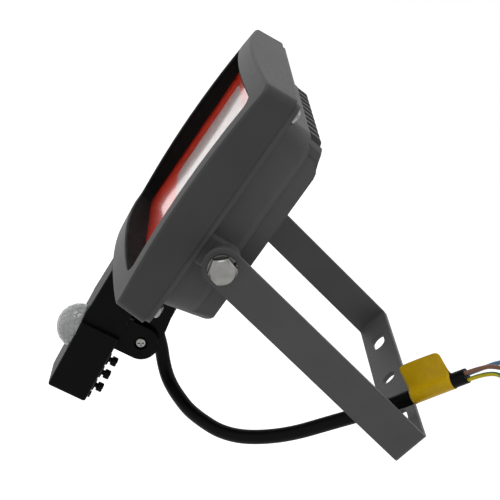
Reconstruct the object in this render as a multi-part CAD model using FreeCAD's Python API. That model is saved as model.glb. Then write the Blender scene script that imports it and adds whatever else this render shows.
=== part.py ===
import FreeCAD, Part
import math
import os

# Wall-mounted floodlight with a hinged motion sensor.
# World frame in mm: the wall is the plane y = 0, +Z is up, the lamp looks along -Y.
# The lamp's own frame: x across, n forward from the pivot axis, u up along its face.

V = FreeCAD.Vector
ORIGIN = V(0, 0, 0)
X_AXIS = V(1, 0, 0)
Y_AXIS = V(0, 1, 0)
Z_AXIS = V(0, 0, 1)

# Wall bracket
strap_thickness = 2.5
strap_height = 20.0
pivot_reach = 140.0
bend_radius = 3.5
inner_bend_radius = 1.0
wall_hole_radius = 4.4
wall_slot_radius = 4.4
wall_slot_length = 16.0
wall_slot_spacing = 100.0

# Leans at rest, in degrees
lamp_lean = 12.1
sensor_extra_lean = 5.4

# Bezel
bezel_back_n = 15.0
bezel_draft_n = 45.0
bezel_back_half_x = 75.2
bezel_wall_x = 3.2
cavity_half_x = bezel_back_half_x - bezel_wall_x
bezel_front_wall_x = 1.1
bezel_draft_half_x = cavity_half_x + bezel_front_wall_x
bezel_back_half_u = 68.25
bezel_wall_u = 3.25
cavity_half_u = bezel_back_half_u - bezel_wall_u
bezel_front_wall_u = 1.3
bezel_draft_half_u = cavity_half_u + bezel_front_wall_u
bezel_centre_u = 18.05
bezel_corner_radius = 6.0
bezel_bevel = 1.0
crown_n = 41.7
crown_bow_x = 7.0
crown_inset = 1.4
crown_overrun = 12.8
crown_span_x = bezel_back_half_x - crown_inset
crown_bow_u = 3.7
crown_span_u = bezel_back_half_u - crown_inset
cavity_corner_radius = 4.0
front_lip_x = 5.7
front_lip_low_u = 12.95
front_lip_high_u = 8.85
opening_half_x = cavity_half_x - front_lip_x
opening_low_u = bezel_centre_u - cavity_half_u + front_lip_low_u
opening_high_u = bezel_centre_u + cavity_half_u - front_lip_high_u
opening_corner_radius = 7.0

# Window stack behind the bezel
pane_gap_x = 2.5
pane_gap_u = 5.0
pane_half_x = cavity_half_x - pane_gap_x
pane_half_u = cavity_half_u - pane_gap_u
pane_corner_radius = 16.0
glass_back_n = 24.0
glass_thickness = 3.0
glass_front_n = glass_back_n + glass_thickness
gasket_thickness = 1.5
ledge_n = glass_front_n + gasket_thickness
lip_thickness = 1.2
lip_set_back = 1.0
mask_thickness = 1.0
mask_back_n = glass_back_n - mask_thickness
mask_window_half_x = 47.5
mask_window_low_u = -6.7
mask_window_high_u = 57.8
mask_window_radius = 3.0
diffuser_thickness = 1.5
diffuser_back_n = mask_back_n - diffuser_thickness

# Bezel screws
screw_set_in_x = 6.0
screw_set_in_u = 5.0
screw_x = cavity_half_x - screw_set_in_x
screw_offset_u = cavity_half_u - screw_set_in_u
screw_boss_radius = 4.0
screw_shank_radius = 2.0
screw_clearance = 0.02
screw_hole_radius = screw_shank_radius + screw_clearance
screw_head_radius = 4.0
screw_head_height = 2.6
screw_end_n = 24.0
screw_hole_end_n = 25.5

# Rear housing
flange_back_n = 12.0
flange_inset = 1.5
flange_half_x = bezel_back_half_x - flange_inset
flange_half_u = bezel_back_half_u - flange_inset
flange_corner_radius = 5.0
body_set_in_x = 6.5
body_set_in_low_u = 4.35
body_set_in_high_u = 8.55
body_front_half_x = cavity_half_x - body_set_in_x
body_front_low_u = bezel_centre_u - cavity_half_u + body_set_in_low_u
body_front_high_u = bezel_centre_u + cavity_half_u - body_set_in_high_u
body_back_n = -16.0
body_draft_x = 2.8
body_draft_low_u = 4.6
body_draft_high_u = 2.1
body_back_half_x = body_front_half_x - body_draft_x
body_back_low_u = body_front_low_u + body_draft_low_u
body_back_high_u = body_front_high_u - body_draft_high_u
body_corner_radius = 14.5
wall_thickness = 3.0
fin_count = 12
fin_edge = 5.5
fin_pitch = 2 * (body_back_half_x - fin_edge) / (fin_count - 1)
fin_thickness = 3.0
fin_front_n = 2.0
side_slab_thickness = 5.7
side_slab_inner_x = body_back_half_x - side_slab_thickness
side_slab_back_n = -7.5
side_slab_round = 5.0
cheek_set_in = 2.5
cheek_thickness = 4.5
cheek_outer_x = body_back_half_x - cheek_set_in
cheek_inner_x = cheek_outer_x - cheek_thickness
deep_hollow_half_x = side_slab_inner_x - wall_thickness

# Side pads, hubs and pivot bolts
bracket_side_gap = 4.8
bracket_width = 2 * (bezel_back_half_x + bracket_side_gap + strap_thickness)
flat_washer_thickness = 1.5
hub_face_x = bracket_width / 2 - strap_thickness - flat_washer_thickness
hub_rise = 7.0
hub_radius = 8.5
pad_radius = 9.0
pad_face_x = hub_face_x - hub_rise
pad_root_depth = 2.7
pad_root_x = body_back_half_x - pad_root_depth
pad_bevel = 1.5
inner_boss_radius = 8.0
inner_boss_rise = 2.5
inner_boss_x = pad_root_x - inner_boss_rise
bolt_shank_radius = 4.0
bolt_hole_clearance = 0.02
bolt_hole_radius = bolt_shank_radius + bolt_hole_clearance
bolt_hole_end_wall = 3.0
bolt_hole_end_x = inner_boss_x + bolt_hole_end_wall
bolt_end_gap = 1.5
bolt_shank_end_x = bolt_hole_end_x + bolt_end_gap
pivot_hole_clearance = 0.08
pivot_hole_radius = bolt_shank_radius + pivot_hole_clearance
washer_clearance = 0.1
bolt_head_flats = 13.0
bolt_head_height = 5.0
bolt_head_crown = 0.6
spring_washer_radius = 7.4
spring_washer_bore = bolt_shank_radius + washer_clearance
spring_washer_height = 1.8
spring_washer_gap = 1.6
flat_washer_radius = 8.5
flat_washer_bore = bolt_shank_radius + washer_clearance

# Terminal box under the housing
box_half_x = 25.0
box_front_n = 12.0
box_back_n = -14.4
box_overlap = 1.0
box_height = 12.0
box_top_u = body_back_low_u + box_overlap
box_bottom_u = box_top_u - box_height
box_edge_round = 2.0
box_roof = 1.5
throat_half_x = 19.0
box_wall = 2.5
box_floor = 3.0
box_corner_radius = 4.0

# Cable gland
gland_x = -15.5
gland_n = -5.3
gland_tilt = 8.0
gland_seat_radius = 6.4
gland_seat_in = -4.5
gland_seat_out = 1.2
gland_body_radius = 5.6
gland_body_end = 20.6
gland_thread_radius = 4.7
gland_thread_start = -9.5
gland_thread_end = 25.0
gland_bore_radius = 3.2
gland_hole_radius = 4.75
gland_nut_start = 21.2
gland_nut_radius = 5.5
gland_nut_end_radius = 5.3
gland_nut_shoulder = 29.6
gland_length = 31.3
gland_seal_neck_radius = 4.3
gland_clearance = 0.05
gland_lock_flats = 11.0
gland_lock_height = 4.0

# Sensor bracket
foot_half_x = 9.0
foot_back_n = -9.0
foot_front_n = 7.0
foot_thickness = 3.0
foot_corner_radius = 2.0
spigot_radius = 5.0
spigot_clearance = 0.05
spigot_hole_radius = spigot_radius + spigot_clearance
spigot_bore_radius = 2.8
spigot_top_u = -40.0
spigot_n = -1.0
hinge_n = -3.0
hinge_u = -85.0
knuckle_half_x = 5.5
knuckle_radius = 11.0
knuckle_bore_radius = 1.56
lock_nut_flats = 13.0
lock_nut_height = 4.5

# Sensor, in its own frame: the hinge axis is x, y points back, z points up
sensor_half_x = 14.0
sensor_front_y = -35.0
sensor_seam_y = -17.5
sensor_back_y = -12.0
sensor_bottom_z = -45.0
band_low_z = -2.1
band_high_z = 8.3
band_half_x = 11.5
hood_top_z = 32.5
hood_top_half_x = 12.9
hood_top_front_y = -33.9
hood_top_back_y = -13.4
sensor_corner_radius = 1.5
sensor_wall = 2.0
dome_radius = 13.0
dome_centre_y = -33.2
dome_centre_z = -10.6
dome_wall = 1.0
dome_clearance = 0.05
dome_flange_back_y = -32.0
ear_inner_x = 6.0
ear_outer_x = 9.5
ear_radius = 9.8
ear_bore_radius = 1.55
ear_recess_radius = 3.8
ear_recess_depth = 2.2
hinge_screw_radius = 1.5
hinge_head_radius = 2.8
hinge_head_height = 2.0
hinge_nut_flats = 5.5
hinge_nut_height = 2.1
knob_heights = (-21.0, -30.0, -39.0)
collar_radius = 3.7
collar_length = 2.2
knob_bore_radius = 1.55
knob_stem_radius = 1.5
knob_stem_end_y = -18.4
knob_cap_start = 3.7
knob_cap_end = 7.0
knob_cap_radius = 2.75
knob_slot_width = 0.9
knob_slot_depth = 1.0
sensor_board_front_y = -24.0
board_thickness = 1.6
pot_half = 3.2
pot_length = 3.4
pir_radius = 4.1
pir_length = 4.0
cover_screw_radius = 1.1
cover_hole_clearance = 0.06
cover_hole_radius = cover_screw_radius + cover_hole_clearance
cover_screw_head_radius = 2.0
cover_screw_head_height = 1.3
cover_screw_end_y = -24.0
cover_screw_seat_gap = 0.03
cover_screw_places = ((9.6, -41.0), (8.8, 28.0))
cover_boss_radius = 2.2

# Inside the lamp
led_board_back_n = 5.0
led_board_half_x = 54.0
led_board_low_u = -16.0
led_board_high_u = 66.0
led_post_x = 46.0
led_post_low_u = -8.0
led_post_high_u = 56.0
led_post_radius = 3.5
led_columns = 6
led_rows = 5
led_pitch_x = 15.0
led_pitch_u = 13.0
led_size_x = 3.0
led_size_u = 2.8
led_height = 0.8
driver_half_x = 38.0
driver_low_u = -26.0
driver_high_u = 6.0
driver_front_n = 4.0

# Cable and its three cores, centre points in the world frame
cable_radius = 4.0
core_radius = 1.15
core_straight = 8.0
cable_exit_gap = 0.02
cable_first_run = 8.96
cable_points = (
    V(-14.7, -104.0, -93.3),
    V(-12.5, -93.8, -99.4),
    V(-6.7, -78.9, -101.5),
    V(8.3, -60.9, -94.4),
    V(31.6, -50.4, -78.6),
    V(42.6, -35.8, -55.2),
    V(50.0, -25.0, -24.9),
    V(57.3, -16.1, 3.4),
    V(61.0, -13.2, 15.8),
    V(72.0, -7.7, 45.9))
run_share = 0.45
sleeve_clearance = 0.1
sleeve_wall = 0.5
sleeve_bore_radius = cable_radius + sleeve_clearance
sleeve_radius = sleeve_bore_radius + sleeve_wall
sleeve_start = 0.01
sleeve_end = 0.755
flag_direction = V(-0.25, -0.93, 0.26)
flag_length = 17.5
flag_thickness = 0.6


def at(x, n, u):
    """Point in the lamp's frame."""
    return V(x, -n, u)


def lamp_to_world(shape):
    """Lean a shape drawn in the lamp's frame and carry it to the pivot axis."""
    placed = shape.copy()
    placed.rotate(ORIGIN, X_AXIS, lamp_lean)
    placed.translate(V(0, -pivot_reach, 0))
    return placed


def sensor_to_world(shape):
    """Lean a shape drawn in the sensor's frame and hang it on its hinge."""
    placed = shape.copy()
    placed.rotate(ORIGIN, X_AXIS, sensor_extra_lean)
    placed.translate(at(0, hinge_n, hinge_u))
    return lamp_to_world(placed)


def block(x0, x1, y0, y1, z0, z1):
    return Part.makeBox(x1 - x0, y1 - y0, z1 - z0, V(x0, y0, z0))


def rod(start, end, radius):
    along = end.sub(start)
    return Part.makeCylinder(radius, along.Length, start, along)


def tube(start, end, outer, inner):
    return rod(start, end, outer).cut(rod(start, end, inner))


def extruded(points, along):
    face = Part.Face(Part.makePolygon(list(points) + [points[0]]))
    return face.extrude(along)


def corner_points(cx, cu, radius, start, n):
    spots = []
    for step in (0, 45, 90):
        angle = math.radians(start + step)
        spots.append(at(cx + radius * math.cos(angle), n, cu + radius * math.sin(angle)))
    return spots


def round_rect(half_x, low_u, high_u, radius, n):
    """Closed wire of a rectangle with round corners, square to the lamp's front."""
    cx = half_x - radius
    centres = ((cx, high_u - radius, 0), (-cx, high_u - radius, 90),
               (-cx, low_u + radius, 180), (cx, low_u + radius, 270))
    arcs = [corner_points(x, u, radius, start, n) for x, u, start in centres]
    edges = []
    for index, spots in enumerate(arcs):
        edges.append(Part.Arc(*spots).toShape())
        following = arcs[(index + 1) % len(arcs)]
        edges.append(Part.LineSegment(spots[-1], following[0]).toShape())
    return Part.Wire(edges)


def slab(half_x, low_u, high_u, radius, back_n, front_n):
    """Round-cornered plate between two depths."""
    face = Part.Face(round_rect(half_x, low_u, high_u, radius, back_n))
    return face.extrude(V(0, back_n - front_n, 0))


def centred_slab(half_x, half_u, radius, back_n, front_n):
    low_u = bezel_centre_u - half_u
    high_u = bezel_centre_u + half_u
    return slab(half_x, low_u, high_u, radius, back_n, front_n)


def tapered(back, front):
    """Solid between two round-cornered outlines, each (half_x, low_u, high_u, radius, n)."""
    return Part.makeLoft([round_rect(*back), round_rect(*front)], True, True)


def hexagon(flats, start, along, length, turn=0.0):
    """Hexagonal prism along a direction."""
    corner = flats / math.sqrt(3.0)
    points = []
    for index in range(6):
        angle = math.radians(60.0 * index + turn)
        points.append(V(corner * math.cos(angle), corner * math.sin(angle), 0))
    prism = extruded(points, V(0, 0, length))
    prism.Placement = FreeCAD.Placement(start, FreeCAD.Rotation(Z_AXIS, along))
    return prism


def mirrored_x(shape):
    return shape.mirror(ORIGIN, X_AXIS)


def make_mounting_bracket():
    """Strap bent into a U, with round arm ends, pivot holes and wall fixings."""
    half = bracket_width / 2
    low = -strap_height / 2
    long_reach = pivot_reach + strap_height
    outer = block(-half, half, -long_reach, 0, low, -low)
    corners = [e for e in outer.Edges if is_upright_at(e, half, 0)]
    outer = outer.makeFillet(bend_radius, corners)
    inner_half = half - strap_thickness
    inner = block(-inner_half, inner_half, -long_reach, -strap_thickness, low, -low)
    corners = [e for e in inner.Edges if is_upright_at(e, inner_half, -strap_thickness)]
    inner = inner.makeFillet(inner_bend_radius, corners)
    strap = outer.cut(inner)
    side = block(-half, half, -pivot_reach, 0, low, -low)
    side = side.fuse(rod(V(-half, -pivot_reach, 0), V(half, -pivot_reach, 0), strap_height / 2))
    strap = strap.common(side)
    strap = strap.cut(rod(V(-half, -pivot_reach, 0), V(half, -pivot_reach, 0), pivot_hole_radius))
    back = -strap_thickness
    strap = strap.cut(rod(V(0, back, 0), V(0, 0, 0), wall_hole_radius))
    for sign in (-1, 1):
        strap = strap.cut(wall_slot(sign * wall_slot_spacing / 2, back))
    return strap


def is_upright_at(edge, x, y):
    """True for the vertical edges of a block on both sides, at |x| and y."""
    middle = edge.BoundBox.Center
    return abs(abs(middle.x) - x) < 0.01 and abs(middle.y - y) < 0.01


def wall_slot(x, back):
    straight = wall_slot_length / 2 - wall_slot_radius
    slot = block(x - straight, x + straight, back, 0, -wall_slot_radius, wall_slot_radius)
    for end in (x - straight, x + straight):
        slot = slot.fuse(rod(V(end, back, 0), V(end, 0, 0), wall_slot_radius))
    return slot


def crowned_block(set_back):
    """Solid with the bezel's barrel-shaped front, moved back by set_back."""
    face_radius = (crown_span_x ** 2 + crown_bow_x ** 2) / (2 * crown_bow_x)
    roll_radius = (crown_span_u ** 2 + crown_bow_u ** 2) / (2 * crown_bow_u)
    half = bezel_back_half_x + crown_overrun
    top = crown_n - set_back
    edge_n = top - face_radius + math.sqrt(face_radius ** 2 - half ** 2)
    left = at(-half, edge_n, bezel_centre_u)
    right = at(half, edge_n, bezel_centre_u)
    arc = Part.Arc(left, at(0, top, bezel_centre_u), right).toShape()
    back_right = at(half, 0, bezel_centre_u)
    back_left = at(-half, 0, bezel_centre_u)
    sides = [Part.LineSegment(right, back_right).toShape(),
             Part.LineSegment(back_right, back_left).toShape(),
             Part.LineSegment(back_left, left).toShape()]
    face = Part.Face(Part.Wire([arc] + sides))
    axis_point = at(0, crown_n - roll_radius, bezel_centre_u)
    sweep = 9.0
    face.rotate(axis_point, X_AXIS, -sweep)
    return face.revolve(axis_point, X_AXIS, 2 * sweep)


def bezel_outline(half_x, half_u, n):
    return (half_x, bezel_centre_u - half_u, bezel_centre_u + half_u, bezel_corner_radius, n)


def screw_places():
    for side in (-1, 1):
        for end in (-1, 1):
            yield side * screw_x, bezel_centre_u + end * screw_offset_u


def make_front_bezel():
    """Cast frame: drafted sides, barrel-shaped front, ledge for the window stack."""
    back = bezel_outline(bezel_back_half_x, bezel_back_half_u, bezel_back_n)
    front = bezel_outline(bezel_draft_half_x, bezel_draft_half_u, bezel_draft_n)
    shell = tapered(back, front).common(crowned_block(0.0))
    rim = [e for e in shell.Edges if is_front_rim(e)]
    shell = shell.makeChamfer(bezel_bevel, rim)
    shell = shell.cut(centred_slab(cavity_half_x, cavity_half_u, cavity_corner_radius,
                                   bezel_back_n - 1, ledge_n))
    shell = shell.cut(slab(opening_half_x, opening_low_u, opening_high_u,
                           opening_corner_radius, bezel_back_n, bezel_draft_n))
    for x, u in screw_places():
        shell = shell.fuse(screw_boss(x, u))
    for x, u in screw_places():
        shell = shell.cut(rod(at(x, bezel_back_n, u), at(x, screw_hole_end_n, u), screw_hole_radius))
    return shell.removeSplitter()


def is_front_rim(edge):
    """True for the edges where the bezel's drafted sides meet its crowned front."""
    box = edge.BoundBox
    return -box.YMax > bezel_back_n + 10 and box.YLength < 12.5 and max(box.XLength, box.ZLength) > 3


def screw_boss(x, u):
    """Post in the bezel's corner, tied to both walls."""
    post = rod(at(x, bezel_back_n, u), at(x, ledge_n, u), screw_boss_radius)
    out_x = math.copysign(cavity_half_x + 1.0, x)
    out_u = bezel_centre_u + math.copysign(cavity_half_u + 1.0, u - bezel_centre_u)
    web_x = block(min(x, out_x), max(x, out_x), -ledge_n, -bezel_back_n,
                  u - screw_boss_radius, u + screw_boss_radius)
    web_u = block(x - screw_boss_radius, x + screw_boss_radius, -ledge_n, -bezel_back_n,
                  min(u, out_u), max(u, out_u))
    return post.fuse([web_x, web_u])


def make_glass_gasket():
    """Rubber frame: flat flange in front of the glass and a lip lining the opening."""
    inner_half = opening_half_x - lip_thickness
    inner_low = opening_low_u + lip_thickness
    inner_high = opening_high_u - lip_thickness
    inner_radius = opening_corner_radius - lip_thickness
    flange = centred_slab(pane_half_x, pane_half_u, pane_corner_radius, glass_front_n, ledge_n)
    lip = slab(opening_half_x, opening_low_u, opening_high_u, opening_corner_radius,
               glass_front_n, bezel_draft_n)
    lip = lip.common(crowned_block(lip_set_back))
    frame = flange.fuse(lip)
    frame = frame.cut(slab(inner_half, inner_low, inner_high, inner_radius,
                           glass_front_n - 1, bezel_draft_n + 1))
    return frame.removeSplitter()


def make_front_glass():
    pane = centred_slab(pane_half_x, pane_half_u, pane_corner_radius, glass_back_n, glass_front_n)
    rims = [e for e in pane.Edges if e.BoundBox.YLength < 0.01]
    return pane.makeChamfer(0.3, rims)


def make_red_mask_plate():
    plate = centred_slab(pane_half_x, pane_half_u, pane_corner_radius, mask_back_n, glass_back_n)
    window = slab(mask_window_half_x, mask_window_low_u, mask_window_high_u,
                  mask_window_radius, mask_back_n - 1, glass_back_n + 1)
    return plate.cut(window)


def make_diffuser_panel():
    return centred_slab(pane_half_x, pane_half_u, pane_corner_radius, diffuser_back_n, mask_back_n)


def pan_head_screw(x, u):
    """Screw driven forward through the flange into the bezel's boss."""
    shank = rod(at(x, flange_back_n, u), at(x, screw_end_n, u), screw_shank_radius)
    top_n = flange_back_n - screw_head_height
    head = rod(at(x, flange_back_n, u), at(x, top_n, u), screw_head_radius)
    edges = [e for e in head.Edges if abs(e.BoundBox.YMin + top_n) < 0.01 and e.BoundBox.YLength < 0.01]
    head = head.makeFillet(1.2, edges)
    for turn in (0, 90):
        blade = block(-2.2, 2.2, -top_n - 1.4, -top_n + 0.1, -0.5, 0.5)
        blade.rotate(ORIGIN, Y_AXIS, turn)
        blade.translate(V(x, 0, u))
        head = head.cut(blade)
    return shank.fuse(head).removeSplitter()


def make_bezel_screws():
    return Part.makeCompound([pan_head_screw(x, u) for x, u in screw_places()])


def web_profile():
    """Side outline of the housing between the side walls, as (n, u) pairs."""
    return ((flange_back_n, -43.0), (flange_back_n, body_front_high_u), (-2.7, 73.6), (-4.0, 72.4),
            (-4.0, 64.5), (-8.0, 64.5), (-11.0, 60.5), (-11.0, -28.0), (-9.5, -36.5), (-6.0, -39.2))


def fin_profile():
    """Side outline of one cooling fin, as (n, u) pairs."""
    return ((fin_front_n, 74.2), (-7.0, 73.5), (-9.6, 72.9), (-11.2, 71.8), (-11.9, 70.0),
            (-13.5, 64.5), (-16.0, 57.5), (-16.0, -31.5), (-15.4, -33.8), (-14.0, -35.8),
            (-11.5, -37.6), (-8.0, -39.0), (fin_front_n, -39.0))


def cheek_profile():
    """Side outline of the plate that thickens each outer fin, as (n, u) pairs."""
    return ((fin_front_n, 64.5), (-9.0, 64.5), (-11.8, 63.8), (-14.0, 62.0), (-15.4, 59.5),
            (-16.0, 56.5), (-16.0, -31.5), (-15.4, -33.8), (-14.0, -35.8),
            (-11.5, -37.6), (-8.0, -39.0), (fin_front_n, -39.0))


def side_profile():
    """Side outline of the housing's end walls, as (n, u) pairs."""
    return ((flange_back_n, -43.0), (flange_back_n, body_front_high_u), (-2.7, 73.6), (-4.9, 72.2),
            (-6.5, 69.6), (-7.3, 65.8),
            (side_slab_back_n, 60.0), (side_slab_back_n, -43.0))


def hollow_profile():
    """Side outline of the housing's hollow, as (n, u) pairs."""
    return ((22.5, -40.0), (22.5, 71.5), (-0.6, 70.4), (-1.0, 69.6), (-1.0, 61.5),
            (-5.5, 61.5), (-8.0, 57.5), (-8.0, -27.0), (-6.8, -34.0), (-4.0, -36.4), (12.0, -40.0))


def end_hollow_profile():
    """Side outline of the hollow beside the end walls, as (n, u) pairs."""
    return ((22.5, -40.0), (22.5, 71.5), (-0.6, 70.4), (-1.0, 69.6), (-1.0, 61.5),
            (-4.5, 60.0), (-4.5, -33.0), (-3.2, -36.2), (12.0, -40.0))


def swept_x(profile, low_x, high_x):
    points = [at(low_x, n, u) for n, u in profile]
    return extruded(points, V(high_x - low_x, 0, 0))


def fin_positions():
    first = -fin_pitch * (fin_count - 1) / 2
    return [first + fin_pitch * index for index in range(fin_count)]


def side_pad():
    """Raised pad from the flange back to the pivot, with its round hub."""
    block_part = block(pad_root_x, pad_face_x, -flange_back_n, 0, -pad_radius, pad_radius)
    pad = block_part.fuse(rod(V(pad_root_x, 0, 0), V(pad_face_x, 0, 0), pad_radius))
    pad = pad.removeSplitter()
    rims = []
    for edge in pad.Edges:
        box = edge.BoundBox
        if box.XMin > pad_face_x - 0.01 and box.YMax > -flange_back_n + 0.01:
            rims.append(edge)
    pad = pad.makeChamfer(pad_bevel, rims)
    hub = rod(V(pad_root_x, 0, 0), V(hub_face_x, 0, 0), hub_radius)
    return pad.fuse(hub)


def gland_direction():
    tilt = math.radians(gland_tilt)
    return V(0, math.sin(tilt), -math.cos(tilt))


def gland_point(distance):
    """Point on the gland's axis, measured outwards from the box's underside."""
    return at(gland_x, gland_n, box_bottom_u).add(gland_direction().multiply(distance))


def gland_rod(start, end, radius):
    return rod(gland_point(start), gland_point(end), radius)


def box_block(inset, low_u, high_u):
    shape = block(-box_half_x + inset, box_half_x - inset, -box_front_n + inset,
                  -box_back_n - inset, low_u, high_u)
    corners = [e for e in shape.Edges if e.BoundBox.ZLength > 1]
    return shape.makeFillet(box_corner_radius - inset, corners)


def terminal_box():
    """Outside of the terminal box, with its lower edges rounded."""
    shape = box_block(0.0, box_bottom_u, box_top_u)
    rims = [e for e in shape.Edges if e.BoundBox.ZMax < box_bottom_u + 0.01]
    return shape.makeFillet(box_edge_round, rims)


def body_section(n):
    """The drafted body's outline at depth n."""
    share = (flange_back_n - n) / (flange_back_n - body_back_n)
    half_x = body_front_half_x + share * (body_back_half_x - body_front_half_x)
    low_u = body_front_low_u + share * (body_back_low_u - body_front_low_u)
    high_u = body_front_high_u + share * (body_back_high_u - body_front_high_u)
    return (half_x, low_u, high_u, body_corner_radius, n)


def rounded_side_envelope():
    """The drafted body as far back as its side walls, with a soft rear edge."""
    shape = tapered(body_section(side_slab_back_n), body_section(flange_back_n))
    rims = [e for e in shape.Edges if e.BoundBox.YMin > -side_slab_back_n - 0.01]
    return shape.makeFillet(side_slab_round, rims)


def make_rear_housing():
    """Cast body: flange, rim, finned back, pivot hubs and the terminal box below."""
    envelope = tapered(body_section(body_back_n), body_section(flange_back_n))
    side_envelope = rounded_side_envelope()
    web = swept_x(web_profile(), -side_slab_inner_x, side_slab_inner_x)
    parts = []
    for x in fin_positions():
        parts.append(swept_x(fin_profile(), x - fin_thickness / 2, x + fin_thickness / 2))
    for low_x, high_x in ((-cheek_outer_x, -cheek_inner_x), (cheek_inner_x, cheek_outer_x)):
        parts.append(swept_x(cheek_profile(), low_x, high_x))
    body = web.fuse(parts).common(envelope)
    sides = []
    for low_x, high_x in ((-body_front_half_x, -side_slab_inner_x), (side_slab_inner_x, body_front_half_x)):
        sides.append(swept_x(side_profile(), low_x, high_x).common(side_envelope))
    body = body.fuse(sides)
    body = body.fuse([centred_slab(flange_half_x, flange_half_u, flange_corner_radius,
                                   flange_back_n, bezel_back_n),
                      slab(body_front_half_x, body_front_low_u, body_front_high_u,
                           body_corner_radius, flange_back_n, diffuser_back_n),
                      side_pad(), mirrored_x(side_pad()), terminal_box()])
    body = body.cut(housing_hollow())
    body = body.cut(box_block(box_wall, box_bottom_u + box_floor, box_top_u - box_roof))
    extras = [gland_rod(gland_seat_in, gland_seat_out, gland_seat_radius)]
    for side in (-1, 1):
        extras.append(rod(V(side * inner_boss_x, 0, 0), V(side * (pad_root_x + 4.0), 0, 0),
                          inner_boss_radius))
        for u in (led_post_low_u, led_post_high_u):
            extras.append(rod(at(side * led_post_x, -9.0, u), at(side * led_post_x, led_board_back_n, u),
                              led_post_radius))
    body = body.fuse(extras)
    for side in (-1, 1):
        body = body.cut(rod(V(side * bolt_hole_end_x, 0, 0), V(side * (hub_face_x + 1), 0, 0),
                            bolt_hole_radius))
    body = body.cut([gland_rod(gland_seat_in - 1, gland_seat_out + 1, gland_hole_radius),
                     rod(at(0, spigot_n, box_bottom_u - 1), at(0, spigot_n, box_bottom_u + box_floor + 1),
                         spigot_hole_radius)])
    for x, u in screw_places():
        body = body.cut(rod(at(x, flange_back_n - 1, u), at(x, bezel_back_n + 1, u), screw_hole_radius))
    return body.removeSplitter()


def housing_hollow():
    """Space inside the housing, open to the front and down into the box."""
    inset = wall_thickness
    radius = body_corner_radius - inset
    back = (body_back_half_x - inset, body_back_low_u + inset, body_back_high_u - inset, radius, body_back_n)
    front = (body_front_half_x - inset, body_front_low_u + inset, body_front_high_u - inset,
             radius, flange_back_n)
    main = tapered(back, front)
    rim = slab(body_front_half_x - inset, body_front_low_u + inset, body_front_high_u - inset,
               radius, flange_back_n, diffuser_back_n + 1)
    reach = swept_x(end_hollow_profile(), -body_front_half_x, body_front_half_x)
    reach = reach.fuse(swept_x(hollow_profile(), -deep_hollow_half_x, deep_hollow_half_x))
    hollow = main.fuse(rim).common(reach)
    throat = block(-throat_half_x, throat_half_x, -8.0, 5.0, box_bottom_u + box_floor, box_top_u + box_roof)
    return hollow.fuse(throat)


def pivot_bolt():
    """Hexagon bolt through the arm and washers into the hub, on the +X side."""
    head_x = bracket_width / 2 + spring_washer_height
    shank = rod(V(bolt_shank_end_x, 0, 0), V(head_x, 0, 0), bolt_shank_radius)
    head = hexagon(bolt_head_flats, V(head_x, 0, 0), X_AXIS, bolt_head_height, 12.0)
    crown_radius = bolt_head_flats / math.sqrt(3.0)
    flat_radius = bolt_head_flats / 2 - bolt_head_crown
    cone = Part.makeCone(crown_radius + 2.0, flat_radius, bolt_head_height,
                         V(head_x, 0, 0), X_AXIS)
    return shank.fuse(head.common(cone))


def make_pivot_bolts():
    bolt = pivot_bolt()
    return Part.makeCompound([bolt, mirrored_x(bolt)])


def make_spring_washers():
    """Split washers, each cut through on a slant."""
    start = V(bracket_width / 2, 0, 0)
    end = V(bracket_width / 2 + spring_washer_height, 0, 0)
    ring = tube(start, end, spring_washer_radius, spring_washer_bore)
    gap = block(start.x - 1, end.x + 1, 0, spring_washer_radius + 1,
                -spring_washer_gap / 2, spring_washer_gap / 2)
    gap.rotate(V((start.x + end.x) / 2, 0, 0), Y_AXIS, 20)
    gap.rotate(ORIGIN, X_AXIS, 62)
    ring = ring.cut(gap)
    return Part.makeCompound([ring, mirrored_x(ring)])


def make_pivot_washers():
    inner_face = bracket_width / 2 - strap_thickness
    ring = tube(V(hub_face_x, 0, 0), V(inner_face, 0, 0), flat_washer_radius, flat_washer_bore)
    return Part.makeCompound([ring, mirrored_x(ring)])


def make_cable_gland_body():
    """Slim gland: outer barrel with thread at both ends and a bore for the cores."""
    barrel = Part.makeCone(gland_body_radius + 0.15, gland_body_radius, gland_body_end - gland_seat_out,
                           gland_point(gland_seat_out), gland_direction())
    thread = gland_rod(gland_thread_start, gland_thread_end, gland_thread_radius)
    bore = gland_rod(gland_thread_start - 1, gland_thread_end + 1, gland_bore_radius)
    return barrel.fuse(thread).cut(bore)


def make_cable_gland_nut():
    """Clamping nut with a necked end."""
    outer = Part.makeCone(gland_nut_radius, gland_nut_end_radius, gland_length - gland_nut_start,
                          gland_point(gland_nut_start), gland_direction())
    inner = gland_rod(gland_nut_start - 1, gland_nut_shoulder, gland_thread_radius + gland_clearance)
    neck = gland_rod(gland_nut_shoulder - 1, gland_length + 1, gland_seal_neck_radius + gland_clearance)
    return outer.cut(inner).cut(neck)


def make_gland_seal():
    ring = gland_rod(gland_thread_end, gland_nut_shoulder, gland_thread_radius)
    neck = gland_rod(gland_thread_end, gland_length, gland_seal_neck_radius)
    return ring.fuse(neck).cut(gland_rod(gland_thread_end - 1, gland_length + 1, gland_bore_radius - 1.0))


def make_gland_lock_nut():
    start = gland_point(gland_seat_in)
    back = gland_direction().multiply(-1.0)
    nut = hexagon(gland_lock_flats, start, back, gland_lock_height)
    return nut.cut(gland_rod(gland_seat_in - gland_lock_height - 1, gland_seat_in + 1,
                             gland_thread_radius + gland_clearance))


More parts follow.
